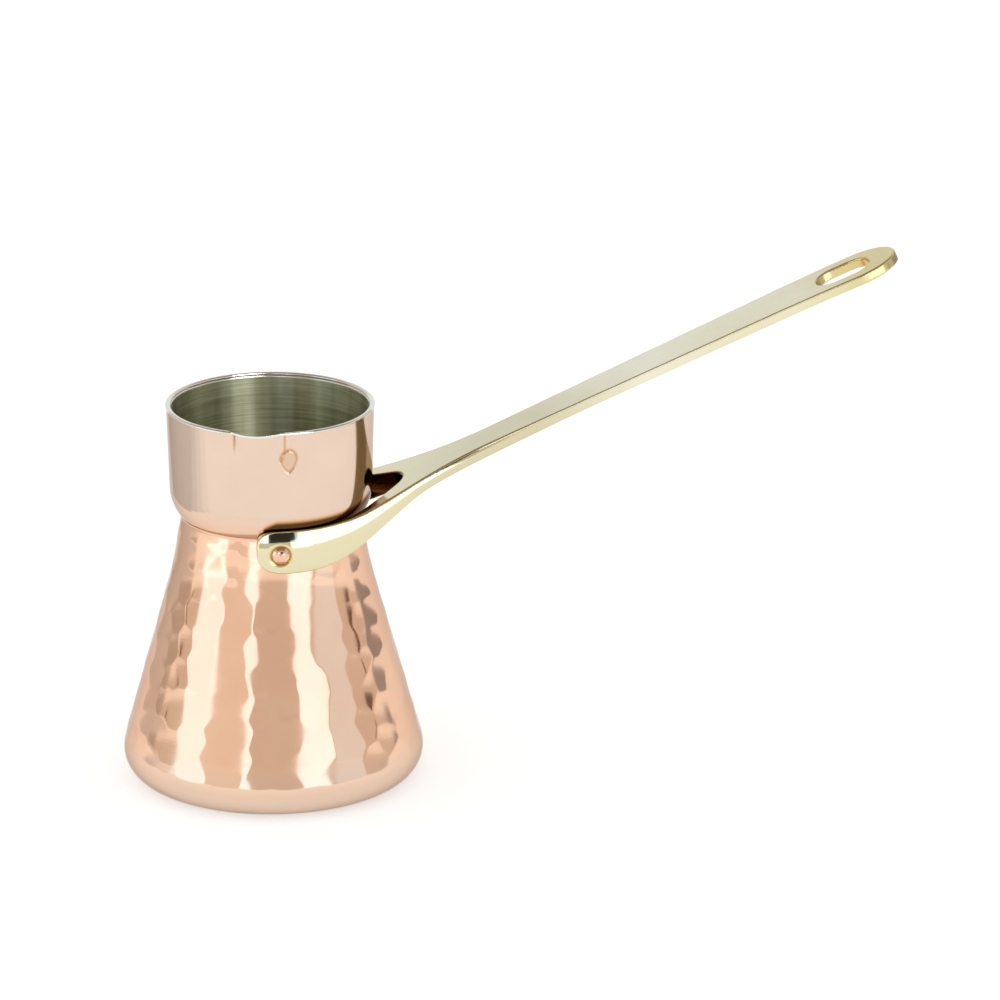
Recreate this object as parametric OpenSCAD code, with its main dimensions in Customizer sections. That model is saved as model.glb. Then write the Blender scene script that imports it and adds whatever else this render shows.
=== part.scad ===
// Cezve: a long-handled pot for Turkish coffee. A copper cone with a drawn-in neck, a tall
// collar and a pouring lip is lined with tin, and a forked brass handle is riveted to the neck.
// The origin is at the centre of the flat base. +Z is up, and the handle runs along +X.

/* [Pot] */
// Height of the pot, from the table to the top of the rim
pot_h = 108; // [106:1:110]
// Largest outer radius, just above the base
belly_r = 41.8; // [41.2:0.2:42.4]
// Outer radius of the copper at the rim
rim_r = 28.7; // [28.4:0.1:29]
// Outer radius of the neck, at its crease under the collar
neck_r = 24.9; // [24.6:0.1:25.2]
// Thickness of the copper
wall = 1; // [0.8:0.1:1.2]
// Thickness of the tin
lining = 0.3; // [0.2:0.05:0.4]

/* [Lip] */
// Direction that the lip pours in, seen from above and counted from the handle
lip_angle = -101; // [-110:1:-90]
// How far the lip stands out from the rim
lip_out = 2.2; // [1.6:0.2:2.6]

/* [Handle] */
// Distance from the pot's axis to the tip of the handle
reach = 172.3; // [164:0.1:180]
// Slope of the handle, in degrees above the table
bar_tilt = 24.6; // [23:0.2:26]
// Thickness of the handle's bar
bar_t = 2.9; // [2.5:0.1:3.3]
// Width of the bar at its waist, next to the fork
waist_w = 13.8; // [12.8:0.2:14.6]
// Width of the bar at its round end
end_w = 20.2; // [19.4:0.2:21]
// Width of the hanging slot
eye_w = 11.2; // [10:0.2:12]
// Length of the hanging slot
eye_l = 15.8; // [14:0.2:17]
// Radius of the rivets' shanks
rivet_r = 1.5; // [1.2:0.1:1.8]

/* [Hidden] */
$fn = 128;
past = 1; // how far a cut runs past the face that it opens

// Outer outline of the pot: a round corner, the cone, a long blend and the neck
corner_r = 8.2;
cone_tilt = 15.4;
neck_tilt = 9.8;
blend_r = 100;
neck_z = 76.3;
corner_x = belly_r - corner_r;
dip = 0.02; // straight sides end this far inside the round ones, so that the two cross cleanly
// Each straight stretch is the line r cos(tilt) + z sin(tilt) = reach of that line
cone_k = corner_x * cos(cone_tilt) + corner_r * sin(cone_tilt) + corner_r;
neck_k = neck_r * cos(neck_tilt) + neck_z * sin(neck_tilt);

// The collar: a round turn above the neck, then a slightly flared wall
turn_r = 12.5;
turn_z = 84.5;
flare = 1.6;
collar_k = rim_r * cos(flare) - pot_h * sin(flare);
turn_x = (collar_k - turn_r + turn_z * sin(flare)) / cos(flare);

// The tin turns over the top of the copper in a rounded bead
bead_out = 0.3;
bead_r = (wall + lining + bead_out) / 2;
copper_top = pot_h - bead_out;
open_top = pot_h + 2;

// The lip is a short cone that leans out through the collar
lip_h = 12;
lip_w = 13.7;
lip_reach = rim_r + lip_out;
lip_x = (lip_reach ^ 2 - rim_r ^ 2) / (2 * (lip_reach - sqrt(rim_r ^ 2 - lip_w ^ 2 / 4)));
lip_top_r = lip_reach - lip_x;
lip_low_r = lip_top_r - lip_out - 0.7;

// The fork: two arms around the neck, cut from a round plate and blended into the bar
arm_r = 29.4;
arm_top = 79.7;
arm_bottom = 67.4;
arm_end_x = 2.4;
arm_end_l = 8;
fork_side_a = 60.3;
fork_blend_r = 40;
fork_meet_x = (arm_r - waist_w / 2 * sin(fork_side_a)) / cos(fork_side_a);
fork_blend_x = fork_meet_x + fork_blend_r * tan(45 - fork_side_a / 2);
fork_blend_y = waist_w / 2 + fork_blend_r;
crotch_x = 36.4;
crotch_r = 8;
crotch_touch_r = 27.5;
fork_tilt = 24;
under_tilt = 36.5;
top_turn_r = 30;
under_turn_r = 22;
under_meet_x = 18.3; // where the steep underside would meet the arms' lower edge

// The bar's top face starts at the root and climbs at bar_tilt to the tip
root_x = 57;
root_z = 95.4;
root_t = 3.7;
taper_end_x = 84;
bar_l = (reach - root_x) / cos(bar_tilt);
end_l = 12;
eye_from_tip = 15.6;

// Rivets: a domed head in a shallow dimple outside, a flat head inside
rivet_x = 1;
rivet_z = 73;
head_r = 2.5;
head_h = 1.3;
dimple_r = 3.2;
dimple_d = 0.5;
inner_head_t = 0.8;
seat_y = arm_r - dimple_d;

function arc(x, y, r, from, to, steps) =
    [for (i = [0:steps]) let (a = from + (to - from) * i / steps) [x + r * cos(a), y + r * sin(a)]];
// Radius of the outline's straight stretches at height z, a distance inset inside the pot
function cone_at(z, inset) = (cone_k - inset - z * sin(cone_tilt)) / cos(cone_tilt);
function neck_at(z, inset) = (neck_k - inset - z * sin(neck_tilt)) / cos(neck_tilt);
function collar_at(z, inset) = (collar_k - inset + z * sin(flare)) / cos(flare);
// Height where the cone's line meets the neck's line
function meet_z(inset) = ((cone_k - inset) / cos(cone_tilt) - (neck_k - inset) / cos(neck_tilt))
    / (tan(cone_tilt) - tan(neck_tilt));
// Height of the bar's top face
function bar_z(x) = root_z + (x - root_x) * tan(bar_tilt);
// Height of the bar's lower face where the bar is t thick
function under_z(x, t) = bar_z(x) - t / cos(bar_tilt);

// Half section of the pot, from the axis to the surface that lies inset inside its outline
module section(inset) {
    blend_z = meet_z(-blend_r);
    blend_x = cone_at(blend_z, -blend_r);
    corner = corner_r - inset;
    turn = turn_r - inset;
    translate([corner_x, corner_r]) circle(corner);
    polygon(concat(
        [[0, inset], [corner_x, inset]],
        [[corner_x + (corner - dip) * cos(cone_tilt), corner_r + (corner - dip) * sin(cone_tilt)]],
        arc(blend_x, blend_z, -blend_r - inset, cone_tilt, neck_tilt, 6),
        [[neck_at(turn_z, inset), turn_z], [0, turn_z]]
    ));
    translate([turn_x, turn_z]) circle(turn);
    polygon([
        [0, turn_z],
        [turn_x + (turn - dip) * cos(flare), turn_z - (turn - dip) * sin(flare)],
        [collar_at(open_top, inset), open_top],
        [0, open_top]
    ]);
}

// Everything inside a surface that lies inset inside the pot's outline, with the lip, up to a
// height above the rim
module filled(inset) {
    low = pot_h - lip_h;
    high = open_top - low;
    slope = (lip_top_r - lip_low_r) / lip_h;
    rotate_extrude() section(inset);
    rotate([0, 0, lip_angle]) translate([lip_x, 0, low])
        cylinder(h = high, r1 = lip_low_r - inset, r2 = lip_low_r - inset + slope * high);
}

// Cuts away everything above the copper's top edge
module above_copper() {
    translate([0, 0, copper_top]) cylinder(h = pot_h, r = 2 * belly_r);
}

// Round-edged plate of radius r at the height of the rim, from which the bead is cut
module bead_plate(r) {
    rotate_extrude() {
        translate([r - bead_r, pot_h - bead_r]) circle(bead_r, $fn = 48);
        translate([0, pot_h - 2 * bead_r]) square([r - bead_r, 2 * bead_r]);
    }
}

module rivet_bore() {
    rotate([90, 0, 0]) translate([rivet_x, rivet_z, 0])
        cylinder(h = 2 * arm_r + 2 * past, r = rivet_r, center = true);
}

module copper_body() {
    color("peru") difference() {
        filled(0);
        filled(wall);
        above_copper();
        rivet_bore();
    }
}

module tin_lining() {
    color("lightgray") difference() {
        union() {
            bead_plate(rim_r + bead_out);
            rotate([0, 0, lip_angle]) translate([lip_x, 0, 0]) bead_plate(lip_top_r + bead_out);
            difference() {
                filled(wall);
                above_copper();
            }
        }
        difference() {
            filled(0);
            filled(wall);
            above_copper();
        }
        filled(wall + lining);
        rivet_bore();
    }
}

// Side view of the handle: arms with round ends, then the turn up into the tapered bar
module handle_side() {
    arm_z = (arm_top + arm_bottom) / 2;
    top_meet_x = root_x - (root_z - arm_top) / tan(fork_tilt);
    top_turn_x = top_meet_x - top_turn_r * tan(fork_tilt / 2);
    under_root_z = under_z(root_x, root_t);
    rise = (under_root_z - arm_bottom - (root_x - under_meet_x) * tan(bar_tilt));
    bend_x = under_meet_x + rise / (tan(under_tilt) - tan(bar_tilt));
    under_turn_x = under_meet_x - under_turn_r * tan(under_tilt / 2);
    far_x = reach + bar_t;
    polygon(concat(
        [for (a = [-90:-10:-270]) [arm_end_x + arm_end_l * cos(a), arm_z + (arm_top - arm_z) * sin(a)]],
        arc(top_turn_x, arm_top + top_turn_r, top_turn_r, -90, fork_tilt - 90, 8),
        [[root_x, root_z], [far_x, bar_z(far_x)]],
        [[far_x, under_z(far_x, bar_t)], [taper_end_x, under_z(taper_end_x, bar_t)]],
        [[bend_x, under_z(bend_x, root_t)]],
        arc(under_turn_x, arm_bottom + under_turn_r, under_turn_r, under_tilt - 90, -90, 10)
    ));
}

// Plan of the fork: a disc as wide as both arms, with straight sides that close in on the bar and
// blend into it, and a round crotch cut out
module fork_plan() {
    touch = [cos(fork_side_a), sin(fork_side_a)];
    blend = [fork_blend_x, fork_blend_y] - fork_blend_r * touch;
    crotch_c = crotch_x - crotch_r;
    crotch_a = acos((crotch_touch_r - crotch_r) / crotch_c);
    spread = [cos(crotch_a), sin(crotch_a)];
    cut = crotch_touch_r * spread;
    round_cut = [crotch_c, 0] + crotch_r * spread;
    difference() {
        union() {
            circle(arm_r);
            polygon([
                [0, 0],
                [arm_r * touch.x, -arm_r * touch.y], [blend.x, -blend.y], [fork_blend_x, -waist_w / 2],
                [fork_blend_x, waist_w / 2], blend, arm_r * touch
            ]);
        }
        for (side = [-1, 1]) translate([fork_blend_x, side * fork_blend_y]) circle(fork_blend_r);
        translate([crotch_c, 0]) circle(crotch_r);
        polygon([[0, 0], [cut.x, -cut.y], [round_cut.x, -round_cut.y], round_cut, cut]);
    }
}

// Outline of the bar in its own sloping plane, from beside the waist to the round end
module bar_plan() {
    waist_l = (fork_blend_x - root_x) / cos(bar_tilt);
    polygon(concat(
        [[waist_l - past, -waist_w / 2]],
        [for (a = [-90:6:90]) [bar_l - end_l + end_l * cos(a), end_w / 2 * sin(a)]],
        [[waist_l - past, waist_w / 2]]
    ));
}

// Slot in the end of the bar, for a hook
module eye() {
    for (side = [-1, 1]) translate([side * (eye_l - eye_w) / 2, 0, 0])
        cylinder(h = 4 * bar_t, r = eye_w / 2, center = true);
    cube([eye_l - eye_w, eye_w, 4 * bar_t], center = true);
}

// Places its children in the bar's sloping plane, with the top face at zero height
module on_bar() {
    translate([root_x, 0, root_z]) rotate([0, -bar_tilt, 0]) children();
}

module handle() {
    color("khaki") difference() {
        intersection() {
            rotate([90, 0, 0]) linear_extrude(2 * arm_r + 2 * past, center = true) handle_side();
            union() {
                linear_extrude(pot_h) fork_plan();
                on_bar() translate([0, 0, -2 * root_t]) linear_extrude(3 * root_t) bar_plan();
            }
        }
        filled(0);
        rivet_bore();
        for (side = [-1, 1]) translate([rivet_x, side * (seat_y + past), rivet_z])
            rotate([90, 0, 0]) cylinder(h = 2 * past, r = dimple_r, center = true);
        on_bar() translate([bar_l - eye_from_tip, 0, 0]) eye();
    }
}

// One rivet, along -Y: a shank from the inner head, through lining, neck and arm, to the dome
module rivet() {
    inner = neck_at(rivet_z, wall + lining);
    dome_r = (head_r ^ 2 + head_h ^ 2) / (2 * head_h);
    translate([rivet_x, 0, rivet_z]) rotate([90, 0, 0]) {
        translate([0, 0, inner - inner_head_t]) cylinder(h = seat_y - inner + inner_head_t, r = rivet_r);
        intersection() {
            translate([0, 0, seat_y + head_h - dome_r]) sphere(dome_r);
            translate([0, 0, seat_y]) cylinder(h = head_h + past, r = head_r + past);
        }
    }
    intersection() {
        filled(wall + lining);
        translate([rivet_x, 0, rivet_z]) rotate([90, 0, 0])
            translate([0, 0, inner - inner_head_t]) cylinder(h = 3 * inner_head_t, r = head_r);
    }
}

module rivet_front() {
    color("sienna") rivet();
}

module rivet_back() {
    color("sienna") mirror([0, 1, 0]) rivet();
}

copper_body();
tin_lining();
handle();
rivet_front();
rivet_back();
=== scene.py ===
"""Cezve: a hammered copper coffee pot with a tin lining and a forked brass handle.

The meshes are worked out in millimetres, in the CAD model's frame: the origin is at the centre of
the flat base, +Z is up and the handle runs along +X. Objects, lights and camera are in metres.
"""
import math

import bpy
import numpy as np
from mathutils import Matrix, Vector

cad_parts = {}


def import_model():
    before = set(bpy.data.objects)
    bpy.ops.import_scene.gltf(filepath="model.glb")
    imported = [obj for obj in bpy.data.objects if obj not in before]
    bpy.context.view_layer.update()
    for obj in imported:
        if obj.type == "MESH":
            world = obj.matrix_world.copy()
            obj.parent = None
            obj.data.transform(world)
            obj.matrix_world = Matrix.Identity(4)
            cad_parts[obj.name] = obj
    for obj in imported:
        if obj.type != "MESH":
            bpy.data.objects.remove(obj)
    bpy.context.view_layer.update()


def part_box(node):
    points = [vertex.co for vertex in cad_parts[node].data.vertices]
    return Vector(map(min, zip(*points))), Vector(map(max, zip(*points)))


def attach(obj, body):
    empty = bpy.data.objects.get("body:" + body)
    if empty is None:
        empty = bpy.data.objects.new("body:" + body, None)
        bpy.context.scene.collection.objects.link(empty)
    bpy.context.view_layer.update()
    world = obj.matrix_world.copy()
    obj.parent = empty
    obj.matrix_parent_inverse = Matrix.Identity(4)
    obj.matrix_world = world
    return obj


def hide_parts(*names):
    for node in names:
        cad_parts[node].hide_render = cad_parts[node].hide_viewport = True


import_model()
MM = 0.001

# Pot: driving sizes from the frame, then the outline's own angles and radii
BELLY_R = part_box("copper_body")[1].x / MM
POT_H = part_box("tin_lining")[1].z / MM
COPPER_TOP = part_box("copper_body")[1].z / MM
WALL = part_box("tin_lining")[0].z / MM
LINING = 0.3
RIM_R = 28.7
NECK_R, NECK_Z = 24.9, 76.3
CORNER_R = 8.2
CONE_TILT, NECK_TILT, FLARE = 15.4, 9.8, 1.6
BLEND_R = 100
TURN_R, TURN_Z = 12.5, 84.5
BEAD_OUT, BEAD_H = 0.25, 0.45

# Lip: a short cone that leans out of the collar
LIP_ANGLE = -101
LIP_OUT, LIP_H, LIP_W = 2.2, 12, 13.7
LIP_DROP, LIP_STEP_IN = 0.15, 0.7

# Handle, from the fork's arms to the round end with its slot
ARM_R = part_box("handle")[1].y / MM
ARM_TOP, ARM_LOW = 79.7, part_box("handle")[0].z / MM
ARM_END_X, ARM_END_L = 2.4, 8
ROOT_X, ROOT_Z = 57, 95.4
BAR_TILT = 24.6
REACH = 172.3
WAIST_W, END_W, END_L = 13.8, 20.2, 12
EYE_W, EYE_L, EYE_FROM_TIP = 11.2, 15.8, 15.6

# Rivets
RIVET_X, RIVET_Z, RIVET_R = 1, 73, 1.5
HEAD_R, HEAD_H = 2.5, 1.3
INNER_HEAD_H, INNER_EDGE = 0.8, 0.4
RIVET_SIDES = 64
SEAT_Y = 28.9


def cos(a):
    return math.cos(math.radians(a))


def sin(a):
    return math.sin(math.radians(a))


def tan(a):
    return math.tan(math.radians(a))


def smooth_step(x, low, high):
    t = np.clip((x - low) / (high - low), 0, 1)
    return t * t * (3 - 2 * t)


def smooth_max(a, b, k):
    """The larger of a and b, rounded over a distance k where they cross."""
    return (a + b + np.sqrt((a - b) ** 2 + k * k)) / 2


# ---------------------------------------------------------------- the pot's outline

CORNER_X = BELLY_R - CORNER_R
CONE_K = CORNER_X * cos(CONE_TILT) + CORNER_R * sin(CONE_TILT) + CORNER_R
NECK_K = NECK_R * cos(NECK_TILT) + NECK_Z * sin(NECK_TILT)
COLLAR_K = RIM_R * cos(FLARE) - POT_H * sin(FLARE)
COLLAR_MIDDLE = 94
TURN_X = (COLLAR_K - TURN_R + TURN_Z * sin(FLARE)) / cos(FLARE)


def cone_at(z, inset):
    return (CONE_K - inset - z * sin(CONE_TILT)) / cos(CONE_TILT)


def neck_at(z, inset):
    return (NECK_K - inset - z * sin(NECK_TILT)) / cos(NECK_TILT)


def collar_at(z, inset):
    return (COLLAR_K - inset + z * sin(FLARE)) / cos(FLARE)


def line(start, end, step):
    """Points from start to end, without the end, about a step apart."""
    count = max(1, round(math.dist(start, end) / step))
    t = np.arange(count)[:, None] / count
    return np.array(start) * (1 - t) + np.array(end) * t


def arc(centre, r, from_a, to_a, step):
    """Points along an arc, without its end, about a step apart. Angles are in degrees."""
    count = max(2, round(abs(r * math.radians(to_a - from_a)) / step))
    a = np.radians(from_a + (to_a - from_a) * np.arange(count) / count)
    return np.array(centre) + r * np.stack([np.cos(a), np.sin(a)], 1)


def crease(inset):
    """Where the neck's line runs into the collar's round turn."""
    depth = NECK_K - inset - TURN_X * cos(NECK_TILT) - TURN_Z * sin(NECK_TILT)
    drop = math.sqrt((TURN_R - inset) ** 2 - depth ** 2)
    return (TURN_X + depth * cos(NECK_TILT) + drop * sin(NECK_TILT),
            TURN_Z + depth * sin(NECK_TILT) - drop * cos(NECK_TILT))


def outline(inset, top, flat_step, round_step, wall_step, collar_step):
    """Half section of the surface inset inside the pot's outside: points (r, z) from axis to rim."""
    meet_z = ((CONE_K + BLEND_R) / cos(CONE_TILT) - (NECK_K + BLEND_R) / cos(NECK_TILT)) \
        / (tan(CONE_TILT) - tan(NECK_TILT))
    blend_c = (cone_at(meet_z, -BLEND_R), meet_z)
    blend_r = BLEND_R + inset
    corner = CORNER_R - inset
    cone_start = (CORNER_X + corner * cos(CONE_TILT), CORNER_R + corner * sin(CONE_TILT))
    cone_end = (blend_c[0] - blend_r * cos(CONE_TILT), blend_c[1] - blend_r * sin(CONE_TILT))
    neck_start = (blend_c[0] - blend_r * cos(NECK_TILT), blend_c[1] - blend_r * sin(NECK_TILT))
    low = crease(inset)
    turn_a = math.degrees(math.atan2(low[1] - TURN_Z, low[0] - TURN_X))
    collar_start = (TURN_X + (TURN_R - inset) * cos(FLARE), TURN_Z - (TURN_R - inset) * sin(FLARE))
    middle = (collar_at(COLLAR_MIDDLE, inset), COLLAR_MIDDLE)
    rim = (collar_at(top, inset), top)
    return np.concatenate([
        line((0, inset), (CORNER_X, inset), flat_step),
        arc((CORNER_X, CORNER_R), corner, -90, CONE_TILT, round_step),
        line(cone_start, cone_end, wall_step),
        arc(blend_c, blend_r, 180 + CONE_TILT, 180 + NECK_TILT, wall_step),
        line(neck_start, low, wall_step),
        arc((TURN_X, TURN_Z), TURN_R - inset, turn_a, -FLARE, round_step / 2),
        line(collar_start, middle, 3 * collar_step),
        line(middle, rim, collar_step),
        [rim],
    ])


def hidden_side():
    """Coarse half section of the copper's inner face, which the lining covers."""
    return outline(WALL, COPPER_TOP, 14, 4, 8, 5)


def spun(section, angle):
    """Radii and heights of a half section's points, repeated at each angle."""
    return [np.repeat(v[:, None], len(angle), 1) for v in section.T]


# ---------------------------------------------------------------- lip, dent and hammer marks

LIP_REACH = RIM_R + LIP_OUT
LIP_X = (LIP_REACH ** 2 - RIM_R ** 2) / (2 * (LIP_REACH - math.sqrt(RIM_R ** 2 - LIP_W ** 2 / 4)))
LIP_TOP_R = LIP_REACH - LIP_X
LIP_LOW_R = LIP_TOP_R - LIP_OUT - LIP_STEP_IN
LIP_SPREAD = 15
LIP_SOFT = 0.3


def turn_from(angle, centre):
    """Angles in degrees from a centre, between -180 and 180."""
    return (angle - centre + 180) % 360 - 180


def with_lip(r, z, angle, inset):
    """Moves points of the collar out to the lip's cone and down to its sagging edge."""
    away = turn_from(angle, LIP_ANGLE)
    cone_r = LIP_LOW_R - inset + (LIP_TOP_R - LIP_LOW_R) * (z - POT_H + LIP_H) / LIP_H
    square = cone_r ** 2 - (LIP_X * np.sin(np.radians(away))) ** 2
    lip_r = LIP_X * np.cos(np.radians(away)) + np.sqrt(np.maximum(square, 0))
    near = (square > 0) & (np.abs(away) < 2 * LIP_SPREAD) & (z > POT_H - 2 * LIP_H)
    grown = np.where(near, smooth_max(r, lip_r, LIP_SOFT), r)
    sag = LIP_DROP * np.cos(np.radians(np.clip(away / LIP_SPREAD, -1, 1) * 90)) ** 2
    return grown, z - sag * smooth_step(z, POT_H - LIP_H, POT_H)


# Angle of each of the lip's sides, and the height where its crease runs out
LIP_EDGES = ((-113.3, 100.6), (-85.2, 100.3))
CREASE_W, CREASE_DEPTH, CREASE_FADE = 0.3, 0.22, 4


def lip_creases(z, angle):
    """Depth of the fine grooves that run down both sides of the lip."""
    depth = np.zeros_like(z)
    for at, low in LIP_EDGES:
        across = turn_from(angle, at) * math.radians(1) * RIM_R
        depth += CREASE_DEPTH * np.exp(-(across / CREASE_W) ** 2) * smooth_step(z, low, low + CREASE_FADE)
    return depth


DENT_ANGLE, DENT_Z = -83, 99.9
DENT_W, DENT_H, DENT_DEPTH = 2.4, 3.5, 0.2
LEAF_EDGE, LEAF_FLOOR = 0.9, 0.08
# How much the leaf widens from point to shoulder, around which height and how gradually
LEAF_GROWTH, LEAF_MIDDLE, LEAF_SLOWNESS, LEAF_SCALE = 0.45, -1.5, 3, 1.2
PIT_X, PIT_Y, PIT_SPREAD, PIT_DEPTH = -2.0, 0.4, 0.35, 0.3


def dent(z, angle):
    """Depth of a leaf-shaped mark under the lip: an engraved outline, point down, and a pit."""
    x = turn_from(angle, DENT_ANGLE) * math.radians(1) * RIM_R
    y = z - DENT_Z
    width = DENT_W * (1 + LEAF_GROWTH * np.tanh((y - LEAF_MIDDLE) / LEAF_SLOWNESS)) / LEAF_SCALE
    rho = np.hypot(x / width, y / DENT_H)
    pit = np.exp(-((x - PIT_X) ** 2 + (y - PIT_Y) ** 2) / PIT_SPREAD)
    ring = np.exp(-((rho - LEAF_EDGE) * DENT_W / CREASE_W) ** 2)
    return DENT_DEPTH * ring + LEAF_FLOOR * (rho < LEAF_EDGE) + PIT_DEPTH * pit


HAMMER_COLUMNS = 36
HAMMER_PITCH = 8.0
HAMMER_R, HAMMER_TALL_R = 72, 85
HAMMER_SOFT = 0.018
HAMMER_FROM, HAMMER_TO = 7.5, 76.5
FADE_IN, FADE_OUT = 6, 3
SIDE_JITTER, FIRST_JITTER, PITCH_RANGE = 0.35, 0.5, (0.7, 1.3)
TILT_SPREAD, HEIGHT_SPREAD = 0.7, 0.025
DISH_ACROSS, DISH_UP = 11, 12
SKIN_SHIFT = 0.07


def hammer_blows(rng):
    """Places of the blows: columns around the cone, each with its own jitter, depth and tilt."""
    blows = []
    for column in range(HAMMER_COLUMNS):
        z = HAMMER_FROM + rng.uniform(-FIRST_JITTER, FIRST_JITTER) * HAMMER_PITCH
        while z < HAMMER_TO + HAMMER_PITCH:
            angle = (column + rng.uniform(-SIDE_JITTER, SIDE_JITTER)) * 360 / HAMMER_COLUMNS
            tilt_x, tilt_z = np.tan(np.radians(rng.normal(0, TILT_SPREAD, 2)))
            blows.append((angle, z, rng.normal(0, HEIGHT_SPREAD), tilt_x, tilt_z))
            z += HAMMER_PITCH * rng.uniform(*PITCH_RANGE)
    return blows


def hammer_depth(r, z, angle):
    """Height of the hammered skin over the smooth cone: the lowest of many shallow dishes."""
    total = np.zeros_like(r)
    for blow_a, blow_z, height, tilt_x, tilt_z in hammer_blows(np.random.default_rng(11)):
        across = np.radians(turn_from(angle, blow_a)) * r
        up = (z - blow_z) / cos(CONE_TILT)
        near = (np.abs(across) < DISH_ACROSS) & (np.abs(up) < DISH_UP)
        a, u = across[near], up[near]
        dish = a * a / (2 * HAMMER_R) + u * u / (2 * HAMMER_TALL_R) + a * tilt_x + u * tilt_z + height
        total[near] += np.exp(-dish / HAMMER_SOFT)
    skin = -HAMMER_SOFT * np.log(np.maximum(total, 1e-30)) - SKIN_SHIFT
    start = smooth_step(z, HAMMER_FROM, HAMMER_FROM + FADE_IN)
    return skin * start * (1 - smooth_step(z, HAMMER_TO - FADE_OUT, HAMMER_TO))


# ---------------------------------------------------------------- meshes from rings

def ring_angles(count, crowding):
    """Angles in degrees around the pot, closer together on the side of the lip."""
    u = np.arange(count) * 2 * math.pi / count
    return np.degrees(u - crowding * np.sin(u)) + LIP_ANGLE


def ring_faces(rings, count):
    """Quads between rings of points. The first and the last ring are one point each."""
    here = np.arange(count)
    after = (here + 1) % count
    start = 1 + np.arange(rings - 3)[:, None] * count
    quads = np.stack([start + here, start + after, start + count + after, start + count + here], -1)
    last = 1 + (rings - 2) * count
    first_fan = [(0, 1 + b, 1 + a) for a, b in zip(here.tolist(), after.tolist())]
    rim = last - count
    last_fan = [(last, rim + a, rim + b) for a, b in zip(here.tolist(), after.tolist())]
    return first_fan + quads.reshape(-1, 4).tolist() + last_fan


def solid_of_rings(r, z, angle):
    """Vertices, in millimetres, of rings r[i, j], z[i, j] at angle[j], closed by a point at each end."""
    a = np.radians(angle)
    points = np.stack([r * np.cos(a), r * np.sin(a), z], -1)
    inner = points[1:-1].reshape(-1, 3)
    return np.concatenate([[[0, 0, z[0, 0]]], inner, [[0, 0, z[-1, 0]]]])


def mesh_piece(name, points, faces, material, node, normals=None, dark=None):
    """A smooth object of these points, in millimetres, that stands for a CAD node."""
    mesh = bpy.data.meshes.new(name)
    mesh.from_pydata((np.asarray(points) * MM).tolist(), [], faces)
    mesh.validate()
    mesh.polygons.foreach_set("use_smooth", [True] * len(mesh.polygons))
    if normals is not None:
        mesh.normals_split_custom_set_from_vertices(normals.tolist())
    # The dark attribute holds painted shade for the material
    if dark is not None:
        mesh.attributes.new("dark", "FLOAT", "POINT").data.foreach_set("value", dark.astype(np.float32))
    mesh.materials.append(material)
    piece = bpy.data.objects.new(name, mesh)
    bpy.context.scene.collection.objects.link(piece)
    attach(piece, "root")
    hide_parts(node)
    return piece


POT_ANGLES = ring_angles(440, 0.5)
# Painted shade on the collar's turn above the arms: where it ends, in degrees from the handle, and its
# height
CREVICE_END, CREVICE_TURN, CREVICE_SIDE = 99, 9, 2
CREVICE_RISE, CREVICE_FADE, CREVICE_Z = 3.3, 1.8, (77, 79)
# Painted shade in the marks' grooves: the depth of a mark that would be fully shaded, and the darkest
# that a mark gets
MARK_FULL, MARK_DARKEST = 0.55, 0.42


def crevice_painted_shade(r, z, angle):
    """How dark the painted shade on the collar's turn is, just above the fork's arms: 0 to 1."""
    away = np.abs(turn_from(angle, 0))
    rise = CREVICE_RISE * np.sqrt(np.clip((CREVICE_END - away) / CREVICE_TURN, 0, 1))
    edge = arm_top_and_low(r * np.cos(np.radians(angle)))[0] + rise
    beside = 1 - smooth_step(away, CREVICE_END - CREVICE_SIDE, CREVICE_END)
    return beside * (1 - smooth_step(z, edge - CREVICE_FADE, edge)) * smooth_step(z, *CREVICE_Z)


def copper_body(material):
    angle = POT_ANGLES
    outside = outline(0, COPPER_TOP, 7, 1.0, 0.7, 0.27)
    r, z = spun(outside, angle)
    along = np.gradient(outside, axis=0)
    out_r, out_z = (along[:, ::-1] * [1, -1] / np.linalg.norm(along, axis=1)[:, None]).T
    skin = hammer_depth(r, z, angle[None, :] + 0 * r)
    r, z = r + skin * out_r[:, None], z + skin * out_z[:, None]
    r, z = with_lip(r, z, angle, 0)
    marks = dent(z, angle) + lip_creases(z, angle)
    r = r - marks
    r_in, z_in = with_lip(*spun(hidden_side()[::-1], angle), angle, WALL)
    # Painted shade: darker in the grooves of the dent and the lip's creases, and on the collar's turn
    # above the arms
    dark = np.maximum(np.clip(marks / MARK_FULL, 0, MARK_DARKEST), crevice_painted_shade(r, z, angle))
    dark = np.concatenate([dark, 0 * r_in])[1:-1].ravel()
    r, z = np.concatenate([r, r_in]), np.concatenate([z, z_in])
    return mesh_piece("hammered_copper_body", solid_of_rings(r, z, angle), ring_faces(len(r), len(angle)),
                      material, "copper_body", dark=np.concatenate([[0], dark, [0]]))


def tin_lining(material):
    """The lining, from the outside of its bottom, up, over the bead and down its inside."""
    angle = POT_ANGLES
    bead_r = (WALL + LINING + BEAD_OUT) / 2
    bead_x, bead_z = RIM_R + BEAD_OUT - bead_r, POT_H - BEAD_H
    round_part = arc((0, 0), 1, -40, 200, 0.2) * [bead_r, BEAD_H] + [bead_x, bead_z]
    bead = np.concatenate([[[RIM_R, COPPER_TOP], [RIM_R, round_part[0, 1]]], round_part])
    shown = outline(WALL + LINING, bead_z, 2, 0.8, 1.2, 1.0)[::-1]
    parts = []
    for points, inset in ((hidden_side(), WALL), (bead, 0), (shown, WALL + LINING)):
        parts.append(with_lip(*spun(points, angle), angle, inset))
    r, z = (np.concatenate([p[i] for p in parts]) for i in (0, 1))
    return mesh_piece("tin_lining_and_bead", solid_of_rings(r, z, angle), ring_faces(len(r), len(angle)),
                      material, "tin_lining")


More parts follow.
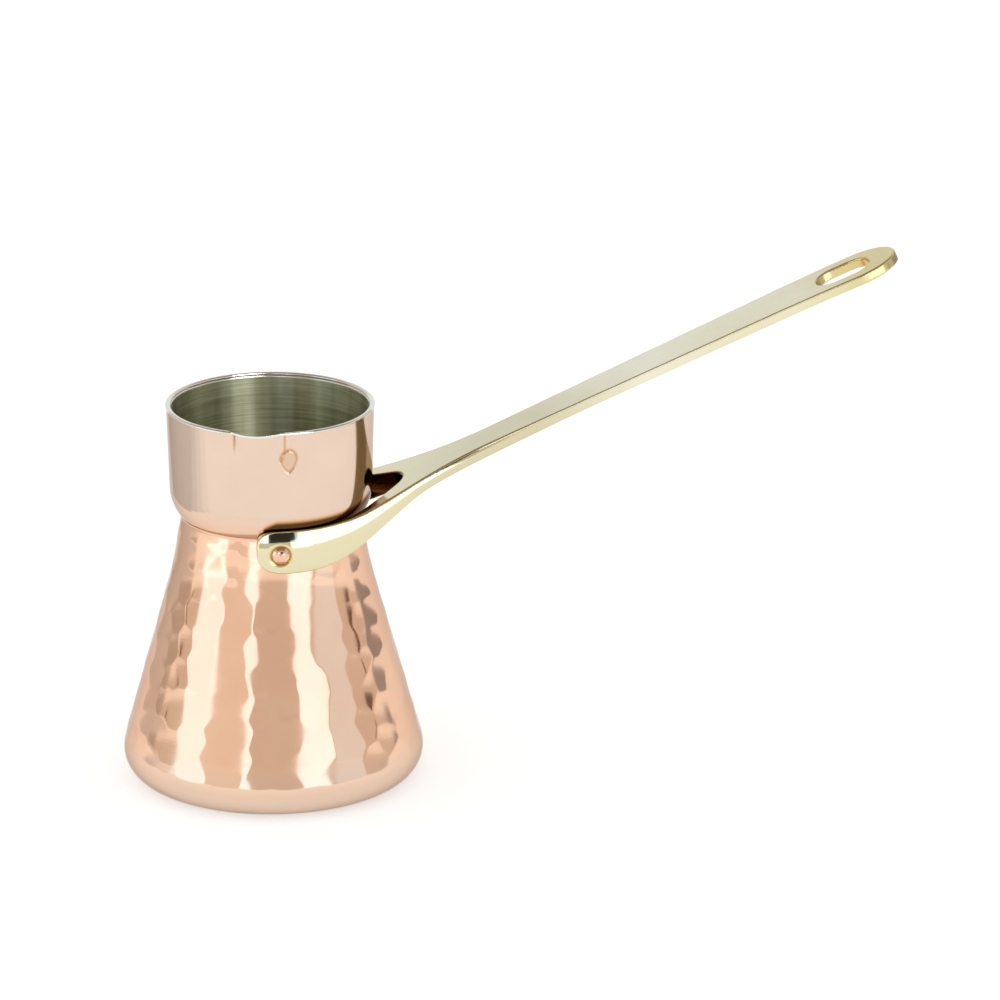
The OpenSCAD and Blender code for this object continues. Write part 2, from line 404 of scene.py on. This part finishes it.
def rivet(name, node, side, material):
    """A rivet along Y: flat head inside the pot, shank, and a domed head in the arm's dimple."""
    inner = neck_at(RIVET_Z, WALL + LINING)
    dome_r = (HEAD_R ** 2 + HEAD_H ** 2) / (2 * HEAD_H)
    dome_a = math.degrees(math.asin(HEAD_R / dome_r))
    section = np.concatenate([
        line((0, inner - INNER_HEAD_H), (HEAD_R - INNER_EDGE, inner - INNER_HEAD_H), 0.5),
        arc((HEAD_R - INNER_EDGE, inner - INNER_HEAD_H + INNER_EDGE), INNER_EDGE, -90, 0, 0.1),
        [[HEAD_R, inner + 0.2], [RIVET_R, inner + 0.2], [RIVET_R, SEAT_Y - 0.1], [HEAD_R, SEAT_Y - 0.1]],
        arc((0, SEAT_Y + HEAD_H - dome_r), dome_r, 90 - dome_a, 90, 0.12),
        [[0, SEAT_Y + HEAD_H]],
    ])
    angle = np.arange(RIVET_SIDES) * 360 / RIVET_SIDES
    r, out = spun(section, angle)
    points = solid_of_rings(r, out, angle)
    placed = np.stack([RIVET_X + points[:, 0], side * points[:, 2], RIVET_Z + points[:, 1]], 1)
    faces = ring_faces(len(r), len(angle))
    if side > 0:
        faces = [face[::-1] for face in faces]
    return mesh_piece(name, placed, faces, material, node)


# ---------------------------------------------------------------- the handle's surface

EDGE_R = 0.5
INNER_EDGE_R = 0.5
SLOT_EDGE_R = 0.45
POT_GAP = 0.12
CROTCH_X, CROTCH_R, CROTCH_TOUCH_R = 36.4, 8, 27.5
CROTCH_C = CROTCH_X - CROTCH_R
CROTCH_A = math.degrees(math.acos((CROTCH_TOUCH_R - CROTCH_R) / CROTCH_C))
HUG_A = 18
FORK_A = 60.3
DIMPLE_LOW, DIMPLE_CURVE, DIMPLE_EDGE_R = 28.55, 0.05, 0.2
BAR_L = (REACH - ROOT_X) / cos(BAR_TILT)
TIP_SAG, SAG_L = 0.7, 40
# The arms' upper facet and round belly, by height over half the arm's height
FACET_TILT, FACET_FROM, FACET_SOFT, FACET_FADE_X = 20, 0.31, 0.1, (45, 85)
BELLY = 0.13
# How square the arms' ends are, above and below their middle
END_POWERS = (3.4, 2.2)
# Where the upper and lower faces turn, how softly, and how much thinner the bar gets
TOP_SOFT = 3.3
UNDER_TILT, UNDER_X, UNDER_SOFT = 36.5, 18.3, 4.1
EASE_X, EASE_SOFT = 40.4, 1.6
TAPER, TAPER_END_X, TAPER_SOFT = 0.8, 84, 3
WAIST_SOFT = 5.6
NET_STEP, QUICK_NET_STEP, RELAX_ROUNDS = 0.4, 0.9, 6
# Painted shade: by the distance from the pot, in the slot, and in the ring around a rivet's head
PAINTED_SHADE_GAP = (0.1, 0.6)
SLOT_PAINTED_SHADE, RING_PAINTED_SHADE = 0.14, 0.8
RING_OUT, RING_W, RING_FROM_Y = 0.15, 0.35, 28


def bend(x, at, width):
    """A line that turns smoothly from flat to a slope of one at a place, and its slope."""
    t = (x - at) / width
    return width * np.logaddexp(0, t), 1 / (1 + np.exp(-np.clip(t, -60, 60)))


def round_max(a, b, r):
    """Intersection of two shapes, with the edge between them rounded to radius r."""
    return np.minimum(np.maximum(a, b), -r) + np.hypot(np.maximum(a + r, 0), np.maximum(b + r, 0))


def oval(a, b, half_a, half_b, power):
    """Distance, near enough, from an oval with these half axes: the higher the power, the squarer."""
    a, b = np.maximum(np.abs(a) / half_a, 1e-6), np.maximum(np.abs(b) / half_b, 1e-6)
    rho = (a ** power + b ** power) ** (1 / power)
    slope = np.hypot((a / rho) ** (power - 1) / half_a, (b / rho) ** (power - 1) / half_b)
    return (rho - 1) / slope


def arm_top_and_low(x):
    """Heights and slopes of the handle's upper and lower faces."""
    slope, steep = tan(BAR_TILT), tan(UNDER_TILT)
    taper = TAPER / cos(BAR_TILT) / (TAPER_END_X - ROOT_X)
    rise, rise_s = bend(x, ROOT_X - (ROOT_Z - ARM_TOP) / slope, TOP_SOFT)
    under, under_s = bend(x, UNDER_X, UNDER_SOFT)
    ease, ease_s = bend(x, EASE_X, EASE_SOFT)
    thin, thin_s = bend(x, ROOT_X, TAPER_SOFT)
    stop, stop_s = bend(x, TAPER_END_X, TAPER_SOFT)
    low = ARM_LOW + steep * under - (steep - slope) * ease + taper * (thin - stop)
    low_s = steep * under_s - (steep - slope) * ease_s + taper * (thin_s - stop_s)
    return ARM_TOP + slope * rise, slope * rise_s, low, low_s


def half_width(x):
    """Half the handle's width across the fork, and its slope: round arms, straight sides, waist."""
    inner = np.clip(x, -0.9 * ARM_R, ARM_R * cos(FORK_A))
    round_y = np.sqrt(ARM_R ** 2 - inner ** 2)
    widen = (END_W - WAIST_W) / 2 / (REACH - END_L - ROOT_X)
    bar = WAIST_W / 2 + widen * np.maximum(x - ROOT_X, 0)
    slope = 1 / tan(FORK_A)
    meet_x = (ARM_R - WAIST_W / 2 * sin(FORK_A)) / cos(FORK_A)
    closing, closing_s = bend(-x, -meet_x, WAIST_SOFT)
    on_arms = x < ARM_R * cos(FORK_A)
    y = np.where(on_arms, round_y, bar + slope * closing)
    y_s = np.where(on_arms, -inner / round_y, widen * (x > ROOT_X) - slope * closing_s)
    return y, y_s


def pot_radius(z):
    """Outer radius of the smooth pot at the heights of the handle."""
    turn = TURN_X + np.sqrt(np.maximum(TURN_R ** 2 - np.minimum(z - TURN_Z, 0) ** 2, 0))
    return np.where(z > TURN_Z, collar_at(z, 0), np.maximum(neck_at(z, 0), turn))


def room_for_pot(x, y, z):
    """Negative inside the space that the fork leaves for the pot: its skin and the round crotch."""
    rho = np.hypot(x, y)
    around = np.degrees(np.arctan2(y, x))
    skin_r = pot_radius(z) + POT_GAP
    hug = smooth_step(around, CROTCH_A, CROTCH_A + HUG_A)
    side = x * cos(CROTCH_A) + y * sin(CROTCH_A) - CROTCH_TOUCH_R
    nose = np.hypot(x - CROTCH_C, y) - CROTCH_R
    nose_a = np.degrees(np.arctan2(y, x - CROTCH_C))
    wedge = np.where(nose_a < CROTCH_A, nose, side)
    free = np.where(around < CROTCH_A, wedge, rho - CROTCH_TOUCH_R - (skin_r - CROTCH_TOUCH_R) * hug)
    return np.minimum(free, rho - skin_r)


def along_bar(x, z):
    return (x - ROOT_X) * cos(BAR_TILT) + (z - ROOT_Z) * sin(BAR_TILT)


def from_slot(u, y):
    """Distance from the slot's wall: negative inside the slot."""
    ends = np.maximum(np.abs(u - BAR_L + EYE_FROM_TIP) - (EYE_L - EYE_W) / 2, 0)
    return np.hypot(ends, y) - EYE_W / 2


def outer_sides(x, y, u, end_z, half):
    """Distance past the side walls of the fork and the bar: facet, belly and round tip included."""
    facet = bend(end_z, FACET_FROM, FACET_SOFT)[0] * tan(FACET_TILT)
    facet *= 1 - smooth_step(x, *FACET_FADE_X)
    belly = BELLY * np.maximum(-end_z, 0) ** 3
    y_edge, y_s = half_width(x)
    sides = (y + (facet + belly) * half - y_edge) / np.hypot(1, y_s)
    tip = oval(u - BAR_L + END_L, y, END_L, END_W / 2, 2)
    return np.where(u > BAR_L - END_L, np.maximum(sides, tip), sides)


def above_dimple(y, from_rivet):
    """Distance above the shallow dish around a rivet's head."""
    slope = 2 * DIMPLE_CURVE * from_rivet
    return (y - DIMPLE_LOW - DIMPLE_CURVE * from_rivet ** 2) / np.hypot(1, slope)


def handle_field(points):
    """Signed distance, near enough, to the handle's surface: negative inside the brass."""
    x, y, z = points[:, 0], np.abs(points[:, 1]), points[:, 2]
    u = along_bar(x, z)
    z = z + TIP_SAG / cos(BAR_TILT) * np.clip((u - BAR_L + SAG_L) / SAG_L, 0, 2) ** 2
    top, top_s, low, low_s = arm_top_and_low(x)
    middle, half = (top + low) / 2, (top - low) / 2
    faces = np.maximum((z - top) / np.hypot(1, top_s), (low - z) / np.hypot(1, low_s))
    end = oval(x - ARM_END_X, z - middle, ARM_END_L, half, np.where(z > middle, *END_POWERS))
    faces = np.where(x < ARM_END_X, end, faces)
    shape = round_max(faces, outer_sides(x, y, u, (z - middle) / half, half), EDGE_R)
    shape = round_max(shape, -room_for_pot(x, y, z), INNER_EDGE_R)
    shape = round_max(shape, -from_slot(u, y), SLOT_EDGE_R)
    from_rivet = np.hypot(x - RIVET_X, z - RIVET_Z)
    shape = round_max(shape, above_dimple(y, from_rivet), DIMPLE_EDGE_R)
    return np.maximum(shape, RIVET_R - from_rivet)


def gradient(field, points):
    step = 1e-3
    shifts = np.eye(3) * step
    return np.stack([(field(points + s) - field(points - s)) / (2 * step) for s in shifts], 1)


LONGEST_MOVE, LEAST_SLOPE = 0.4, 0.05


def onto_surface(field, points, rounds):
    """Moves points along the field's gradient until they lie on its zero surface."""
    for _ in range(rounds):
        g = gradient(field, points)
        move = field(points) / np.maximum((g * g).sum(1), LEAST_SLOPE)
        points = points - np.clip(move, -LONGEST_MOVE, LONGEST_MOVE)[:, None] * g
    return points


def relax(points, quads, amount):
    """Moves each point towards the middle of its neighbours."""
    pairs = np.concatenate([quads[:, [i, (i + 1) % 4]] for i in range(4)])
    pairs = np.concatenate([pairs, pairs[:, ::-1]])
    count = np.bincount(pairs[:, 0], minlength=len(points))
    means = [np.bincount(pairs[:, 0], points[pairs[:, 1], i], len(points)) / count for i in range(3)]
    return points + amount * (np.stack(means, 1) - points)


def inside_grid(field, axes):
    """Which points of a grid lie inside the field's surface."""
    yz = np.stack(np.meshgrid(axes[1], axes[2], indexing="ij"), -1).reshape(-1, 2)
    inside = np.zeros([len(a) for a in axes], bool)
    for i, x in enumerate(axes[0]):
        sheet = np.concatenate([np.full((len(yz), 1), x), yz], 1)
        inside[i] = (field(sheet) < 0).reshape(inside.shape[1:])
    return inside


def quads_between(inside):
    """Quads, as cells of the grid, around each grid edge that the surface crosses."""
    quads = []
    for axis in range(3):
        b, c = np.eye(3, dtype=int)[[(axis + 1) % 3, (axis + 2) % 3]]
        before, after = (np.take(inside, range(s, inside.shape[axis] - 1 + s), axis) for s in (0, 1))
        at = np.argwhere(before != after)
        around = np.stack([at, at - b, at - b - c, at - c], 1)
        leaving = inside[tuple(at.T)]
        around[~leaving] = around[~leaving][:, ::-1]
        quads.append(around)
    return np.concatenate(quads)


def net_of(field, low, high, step):
    """A closed quad mesh of the field's zero surface, with its vertices on the surface."""
    axes = [np.arange(a - 2 * step, b + 3 * step, step) for a, b in zip(low, high)]
    inside = inside_grid(field, axes)
    cells = np.ravel_multi_index(tuple(quads_between(inside).reshape(-1, 3).T), inside.shape)
    used, quads = np.unique(cells, return_inverse=True)
    quads = quads.reshape(-1, 4)
    index = np.stack(np.unravel_index(used, inside.shape), 1)
    points = np.array([a[0] for a in axes]) + (index + 0.5) * step
    points = onto_surface(field, points, 4)
    for _ in range(RELAX_ROUNDS):
        points = onto_surface(field, relax(points, quads, 0.5), 2)
    return onto_surface(field, points, 4), quads


def brass_painted_shade(points):
    """Painted shade: how dark the brass is next to the pot, in the slot and in a ring around each rivet's
    head.
    """
    x, y, z = points.T
    by_pot = 1 - smooth_step(room_for_pot(x, np.abs(y), z), *PAINTED_SHADE_GAP)
    in_slot = SLOT_PAINTED_SHADE - SLOT_PAINTED_SHADE * smooth_step(from_slot(along_bar(x, z), y), 0, SLOT_EDGE_R)
    from_head = np.hypot(x - RIVET_X, z - RIVET_Z) - HEAD_R
    ring = RING_PAINTED_SHADE * np.exp(-((from_head - RING_OUT) / RING_W) ** 2) * (np.abs(y) > RING_FROM_Y)
    return np.maximum(np.maximum(by_pot, in_slot), ring)


def handle(material):
    low, high = (np.array(c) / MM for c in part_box("handle"))
    points, quads = net_of(handle_field, low, high, NET_STEP)
    normals = gradient(handle_field, points)
    normals /= np.linalg.norm(normals, axis=1)[:, None]
    return mesh_piece("forked_brass_handle", points, quads.tolist(), material, "handle",
                      normals, brass_painted_shade(points))


# ---------------------------------------------------------------- materials

class Nodes:
    """Short ways to add and link shader nodes in one material."""

    def __init__(self, name):
        self.material = bpy.data.materials.new(name)
        self.material.use_nodes = True
        self.tree = self.material.node_tree
        self.shader = self.tree.nodes["Principled BSDF"]
        self.shader.inputs["Metallic"].default_value = 1.0
        self.place = self.add("ShaderNodeTexCoord").outputs["Object"]

    def add(self, kind, inputs=None, **settings):
        node = self.tree.nodes.new(kind)
        for key, value in settings.items():
            setattr(node, key, value)
        for key, value in (inputs or {}).items():
            if isinstance(value, bpy.types.NodeSocket):
                self.tree.links.new(value, node.inputs[key])
            else:
                node.inputs[key].default_value = value
        return node

    def math(self, operation, *values):
        return self.add("ShaderNodeMath", dict(enumerate(values)), operation=operation).outputs[0]

    def stretched(self, scale):
        mapping = self.add("ShaderNodeMapping", {"Vector": self.place, "Scale": scale})
        return mapping.outputs["Vector"]

    def around_axis(self, turns, height):
        """Coordinates that run around the pot's axis and up it."""
        xyz = self.add("ShaderNodeSeparateXYZ", {"Vector": self.place})
        angle = self.math("ARCTAN2", xyz.outputs["Y"], xyz.outputs["X"])
        radius = self.add("ShaderNodeVectorMath", {0: self.place}, operation="LENGTH").outputs["Value"]
        parts = {"X": self.math("MULTIPLY", angle, turns),
                 "Y": self.math("MULTIPLY", xyz.outputs["Z"], height),
                 "Z": self.math("MULTIPLY", radius, height)}
        return self.add("ShaderNodeCombineXYZ", parts).outputs["Vector"]

    def along(self, axis):
        """The surface's own X, Y or Z, in metres."""
        return self.add("ShaderNodeSeparateXYZ", {"Vector": self.place}).outputs[axis]

    def noise(self, vector, scale, detail=3.0, roughness=0.5):
        inputs = {"Vector": vector, "Scale": scale, "Detail": detail, "Roughness": roughness}
        return self.add("ShaderNodeTexNoise", inputs).outputs["Fac"]

    def spread(self, value, low, high, from_low=0.3, from_high=0.7):
        """Maps a noise value to the range from low to high."""
        inputs = {"Value": value, "From Min": from_low, "From Max": from_high,
                  "To Min": low, "To Max": high}
        return self.add("ShaderNodeMapRange", inputs).outputs["Result"]

    def tones(self, value, stops):
        ramp = self.add("ShaderNodeValToRGB", {"Fac": value})
        while len(ramp.color_ramp.elements) < len(stops):
            ramp.color_ramp.elements.new(0.5)
        for element, (position, colour) in zip(ramp.color_ramp.elements, stops):
            element.position = position
            element.color = (*colour, 1)
        return ramp.outputs["Color"]

    def with_painted_shade(self, colour, warm, deep):
        """The colour with painted shade, turning warm and then deep where the mesh's attribute says that
        it is dark.
        """
        dark = self.add("ShaderNodeAttribute", attribute_name="dark").outputs["Fac"]
        painted_shade_colour = self.tones(dark, [(0.5, warm), (0.95, deep)])
        inputs = {"Factor": self.math("MULTIPLY", dark, 2), 6: colour, 7: painted_shade_colour}
        return self.add("ShaderNodeMix", inputs, data_type="RGBA").outputs[2]

    def finish(self, colour, roughness, height, bump, distance):
        bumps = self.add("ShaderNodeBump", {"Strength": bump, "Distance": distance, "Height": height})
        wires = {"Base Color": colour, "Roughness": roughness, "Normal": bumps.outputs["Normal"]}
        for key, value in wires.items():
            self.tree.links.new(value, self.shader.inputs[key])
        return self.material


def copper_material():
    """Polished copper: warm on the cone, paler on collar and base, with hair lines around the pot."""
    n = Nodes("polished_copper")
    n.shader.inputs["Specular Tint"].default_value = (0.66, 0.62, 0.60, 1)
    clouds = n.noise(n.place, 55, 4)
    hairs = n.noise(n.around_axis(3.0, 2600), 1, 2)
    height = n.along("Z")
    pale_collar = n.spread(height, 0, 0.7, 0.076, 0.084)
    pale_base = n.spread(height, 0.7, 0, 0.003, 0.016)
    tone = n.math("ADD", n.math("MULTIPLY", clouds, 0.3), n.math("ADD", pale_collar, pale_base))
    colour = n.tones(tone, [(0.09, (0.83, 0.52, 0.36)), (0.21, (0.87, 0.57, 0.40)),
                            (0.80, (0.74, 0.57, 0.45)), (0.92, (0.78, 0.61, 0.49))])
    # Painted shade, warm then deep brown, in the lip's grooves and the dent and on the collar's turn
    # above the arms
    colour = n.with_painted_shade(colour, (0.58, 0.28, 0.10), (0.09, 0.04, 0.015))
    rough = n.math("ADD", n.spread(clouds, 0.07, 0.12), n.spread(hairs, -0.01, 0.02))
    return n.finish(colour, rough, hairs, 0.05, 0.00005)


def tin_material():
    """Brushed tin: fine rings and soft streaks around the inside, and a polished bead at the rim."""
    n = Nodes("brushed_tin")
    rings = n.noise(n.around_axis(1.2, 1500), 1, 4, 0.65)
    clouds = n.noise(n.stretched((1, 1, 0.5)), 70, 3)
    mixed = n.math("ADD", n.math("MULTIPLY", rings, 0.6), n.math("MULTIPLY", clouds, 0.4))
    polished = n.spread(n.along("Z"), 0, 1, 0.1066, 0.1071)
    streaks = n.spread(n.noise(n.around_axis(5.0, 6), 1, 3), -0.07, 0.07)
    lighter = n.math("ADD", n.math("MULTIPLY", polished, 0.4), streaks)
    tone = n.math("ADD", n.math("MULTIPLY", mixed, 0.6), lighter)
    colour = n.tones(tone, [(0.18, (0.24, 0.25, 0.15)), (0.30, (0.42, 0.43, 0.28)),
                            (0.42, (0.62, 0.62, 0.46)), (0.60, (0.78, 0.77, 0.70))])
    n.shader.inputs["Anisotropic"].default_value = 0.9
    n.shader.inputs["Anisotropic Rotation"].default_value = 0.25
    tangent = n.add("ShaderNodeTangent", direction_type="RADIAL", axis="Z").outputs["Tangent"]
    n.tree.links.new(tangent, n.shader.inputs["Tangent"])
    rough = n.math("SUBTRACT", n.spread(rings, 0.44, 0.52), n.math("MULTIPLY", polished, 0.34))
    return n.finish(colour, rough, rings, 0.2, 0.0001)


def brass_material():
    """Cast brass, polished on the arms and sanded along the bar, with a tone that drifts along it."""
    n = Nodes("satin_brass")
    clouds = n.noise(n.place, 45, 4)
    grain = n.noise(n.stretched((60, 900, 900)), 1, 3, 0.6)
    along = n.along("X")
    tone = n.math("ADD", n.spread(clouds, -0.06, 0.06), n.spread(along, 0, 1, 0, 0.174))
    colour = n.tones(tone, [(0.16, (0.74, 0.68, 0.45)), (0.36, (0.63, 0.58, 0.38)),
                            (0.60, (0.80, 0.77, 0.60)), (0.80, (0.76, 0.71, 0.50)),
                            (0.96, (0.68, 0.58, 0.28))])
    # Painted shade, warm then deep brown, next to the pot, in the slot and around each rivet's head
    colour = n.with_painted_shade(colour, (0.60, 0.36, 0.10), (0.09, 0.045, 0.02))
    satin = n.math("MULTIPLY", n.spread(along, 0.3, 1.0, 0.02, 0.07), n.spread(grain, 0.10, 0.20))
    rough = n.math("ADD", n.spread(clouds, 0.01, 0.03), satin)
    return n.finish(colour, rough, grain, 0.06, 0.00006)


def rivet_material():
    """Copper of the rivets: a little redder, with small marks of the setting tool."""
    n = Nodes("rivet_copper")
    marks = n.noise(n.place, 700, 2)
    colour = n.tones(marks, [(0.3, (0.80, 0.47, 0.33)), (0.7, (0.88, 0.58, 0.43))])
    return n.finish(colour, n.spread(marks, 0.10, 0.18), marks, 0.25, 0.0001)


# ---------------------------------------------------------------- studio

CAMERA_YAW = -5.0
CAMERA_PITCH = 18.3
CAMERA_DISTANCE = 1.936
CAMERA_LENS = 252
CAMERA_TARGET = Vector((0.06306, -0.00552, 0.0796))
STUDIO_AZIMUTH = -93.0
STUDIO_CENTRE = Vector((0, 0, 0.06))


def camera():
    data = bpy.data.cameras.new("camera")
    data.lens = CAMERA_LENS
    data.clip_end = 100
    item = bpy.data.objects.new("camera", data)
    bpy.context.scene.collection.objects.link(item)
    back = Vector((sin(CAMERA_YAW) * cos(CAMERA_PITCH), -cos(CAMERA_YAW) * cos(CAMERA_PITCH),
                   sin(CAMERA_PITCH)))
    item.location = CAMERA_TARGET + back * CAMERA_DISTANCE
    item.rotation_euler = (-back).to_track_quat("-Z", "Y").to_euler()
    bpy.context.scene.camera = item


def direction(azimuth, elevation):
    """Unit vector from the pot to a studio direction: azimuth 0 is the camera's side, 90 its right."""
    a = STUDIO_AZIMUTH + azimuth
    return Vector((cos(a) * cos(elevation), sin(a) * cos(elevation), sin(elevation)))


def soft_box(name, azimuth, elevation, distance, width, height, radiance, colour=(1, 1, 1)):
    """A soft box that faces the pot. Its radiance is how bright it looks in a mirror."""
    data = bpy.data.lights.new(name, "AREA")
    data.shape = "RECTANGLE"
    data.size, data.size_y = width, height
    data.energy = radiance * math.pi * width * height
    data.color = colour
    item = bpy.data.objects.new(name, data)
    bpy.context.scene.collection.objects.link(item)
    away = direction(azimuth, elevation)
    item.location = STUDIO_CENTRE + away * distance
    item.rotation_euler = away.to_track_quat("Z", "Y").to_euler()
    return item


def only_on(light, piece):
    """Makes a lamp light this one piece and no other."""
    receivers = bpy.data.collections.new(f"lit_by_{light.name}")
    receivers.objects.link(piece)
    light.light_linking.receiver_collection = receivers


def flat_material(name, colour, roughness):
    material = bpy.data.materials.new(name)
    material.use_nodes = True
    shader = material.node_tree.nodes["Principled BSDF"]
    shader.inputs["Base Color"].default_value = (*colour, 1)
    shader.inputs["Roughness"].default_value = roughness
    return material


def board(name, corners, material):
    mesh = bpy.data.meshes.new(name)
    mesh.from_pydata(corners, [], [(0, 1, 2, 3)])
    mesh.materials.append(material)
    item = bpy.data.objects.new(name, mesh)
    bpy.context.scene.collection.objects.link(item)
    return item


def reflections_only(item):
    item.visible_camera = item.visible_shadow = item.visible_diffuse = False


def card(name, azimuth, elevation, distance, width, height, material):
    """A card that faces the pot."""
    away = direction(azimuth, elevation)
    across = Vector((0, 0, 1)).cross(away).normalized() * width / 2
    up = away.cross(across).normalized() * height / 2
    centre = STUDIO_CENTRE + away * distance
    corners = [centre - across - up, centre + across - up, centre + across + up, centre - across + up]
    return board(name, corners, material)


def world(colour):
    """Even, slightly warm light from all round."""
    item = bpy.data.worlds.new("studio")
    bpy.context.scene.world = item
    item.use_nodes = True
    item.node_tree.nodes["Background"].inputs["Color"].default_value = (*colour, 1)


FLOOR_WHITE, FLOOR_GLOW = 0.8, 0.42


def floor_material(name, tone):
    """White that glows a little, so that the pot's shadow stays soft."""
    material = flat_material(name, (FLOOR_WHITE * tone,) * 3, 0.9)
    shader = material.node_tree.nodes["Principled BSDF"]
    shader.inputs["Emission Color"].default_value = (0.97, 1, 1.03, 1)
    shader.inputs["Emission Strength"].default_value = FLOOR_GLOW * tone
    return material


def level_square(name, half, height, material):
    return board(name, [(-half, -half, height), (half, -half, height), (half, half, height),
                        (-half, half, height)], material)


COOL = (0.6, 0.87, 1.13)
COOL_PALE = (0.8, 0.95, 1.2)


def lamps(lining, brass):
    """Boxes that the cone mirrors as strips, lamps for one piece each, and broad fill."""
    sky = soft_box("sky", 0, 90, 2.0, 3.2, 3.2, 0.25, (0.95, 1, 1.06))
    sky.visible_glossy = False
    soft_box("box_left", -70, 11, 1.0, 0.55, 0.54, 1.0, COOL)
    soft_box("box_front", -21.5, 13, 1.2, 0.2, 0.72, 1.1, COOL)
    soft_box("box_right", 32, 8, 1.1, 0.46, 0.42, 1.15, COOL)
    high_inside = soft_box("high_inside", 37, 55, 1.0, 0.42, 0.5, 9.0)
    only_on(high_inside, lining)
    high_right = soft_box("high_right", 49, 13, 1.1, 0.93, 0.5, 0.85, COOL_PALE)
    only_on(high_right, brass)
    high_front = soft_box("high_front", -12, 25, 1.2, 0.36, 0.34, 1.3, COOL_PALE)
    backdrop = soft_box("backdrop", 180, 15, 1.6, 2.0, 0.5, 0.25, COOL)
    for seen_in_metal_only in (high_inside, high_front, high_right, backdrop):
        seen_in_metal_only.visible_diffuse = False
    soft_box("fill_left", -41, 11, 1.3, 0.75, 0.6, 0.2)
    soft_box("fill_right", 60, 11, 1.3, 0.6, 0.6, 0.3, (0.57, 1.05, 1.5))


def cards():
    """Dark and grey cards that show only as reflections in the metal."""
    black = flat_material("card_black", (0.01, 0.01, 0.01), 0.8)
    brown = flat_material("card_brown", (0.16, 0.09, 0.05), 0.8)
    grey_left = flat_material("grey_left", (0.55, 0.51, 0.47), 0.8)
    grey_right = flat_material("grey_right", (0.38, 0.38, 0.40), 0.8)
    ceiling = flat_material("ceiling_dim", (0.28, 0.22, 0.16), 0.8)
    for item in (card("card_front", 11.7, 27, 1.9, 1.02, 0.65, black),
                 card("card_left", -97, 4, 1.0, 0.05, 0.13, brown),
                 card("card_right", 89, 5, 1.0, 0.075, 0.16, brown),
                 card("side_left", -122, 3, 0.6, 0.4, 0.4, grey_left),
                 card("side_right", 122, 3, 0.6, 0.4, 0.4, grey_right),
                 level_square("ceiling", 1.1, 1.3, ceiling)):
        reflections_only(item)


def mats():
    """Grey mats on the floor, darker step by step, that shade the collar's left side."""
    for step in range(4):
        material = floor_material(f"mat_{step}", 0.93 - 0.09 * step)
        mat = level_square(f"mat_{step}", 0.16, 0.001 + 0.001 * step, material)
        mat.location = direction(-103 - 6 * step, 0) * 0.36
        reflections_only(mat)


def studio(lining, brass):
    world((0.75, 0.70, 0.65))
    level_square("floor", 20, 0, floor_material("floor_white", 1))
    lamps(lining, brass)
    cards()
    mats()
    bpy.context.scene.view_settings.view_transform = "Standard"


# ---------------------------------------------------------------- the pieces

copper_body(copper_material())
lining = tin_lining(tin_material())
brass_handle = handle(brass_material())
rivet_metal = rivet_material()
rivet("rivet_dome_front", "rivet_front", -1, rivet_metal)
rivet("rivet_dome_back", "rivet_back", 1, rivet_metal)
camera()
studio(lining, brass_handle)
